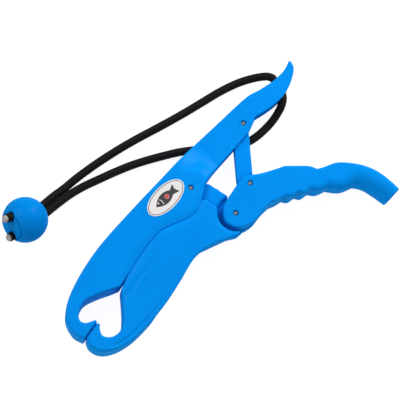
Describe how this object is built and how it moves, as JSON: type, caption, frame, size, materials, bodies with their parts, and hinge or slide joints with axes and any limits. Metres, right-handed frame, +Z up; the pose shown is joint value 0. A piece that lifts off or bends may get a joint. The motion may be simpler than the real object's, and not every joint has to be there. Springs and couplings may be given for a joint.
{
  "type": "lip grip",
  "caption": "Plastic fish lip grip: a trigger linked to the handle opens and closes hooked jaws; an elastic cord loop through the horn carries a float ball.",
  "frame": {"origin": "under the middle of the grip's own box (the cord and ball left out), on the surface that the grip lies on", "axes": "+X along the handle towards the horn, +Y away from the trigger, +Z up through the thickness of the grip"},
  "size_m": [0.2492, 0.1815, 0.0318],
  "materials": {
    "body_plastic": "satin moulded, bright blue",
    "pin_steel": "plain ground ends",
    "label_film": "printed film",
    "cord_braid": "black braid",
    "cord_core": "cut latex"
  },
  "bodies": {
    "body": {"main_body": "body_plastic", "jaw_pin": "pin_steel", "link_body_pin": "pin_steel", "label": "label_film", "cord_upper": "cord_braid", "cord_lower": "cord_braid", "cord_ball": "body_plastic", "ball_plug": "body_plastic", "core_upper": "cord_core", "core_lower": "cord_core"},
    "jaw": {"lower_jaw": "body_plastic"},
    "lever": {"trigger": "body_plastic", "trigger_pin": "pin_steel", "link_trigger_pin": "pin_steel"},
    "toggle": {"link": "body_plastic"}
  },
  "joints": [
    {"name": "jaw_open", "type": "hinge", "parent": "body", "child": "jaw", "pos_m": [0.0042, 0.04063, 0.012], "axis": [0, 0, 1], "range_deg": [0, 11]},
    {"name": "trigger_swing", "type": "hinge", "parent": "jaw", "child": "lever", "pos_m": [0.0141, 0.00633, 0.012], "axis": [0, 0, 1], "range_deg": [-30.5, 0]},
    {"name": "link_swing", "type": "hinge", "parent": "body", "child": "toggle", "pos_m": [0.0664, 0.04923, 0.012], "axis": [0, 0, 1], "range_deg": [0, 11.6]}
  ],
  "couplings": [
    {"joint": "trigger_swing", "follows": "jaw_open", "ratio": -2.75},
    {"joint": "link_swing", "follows": "jaw_open", "ratio": 1.05}
  ]
}
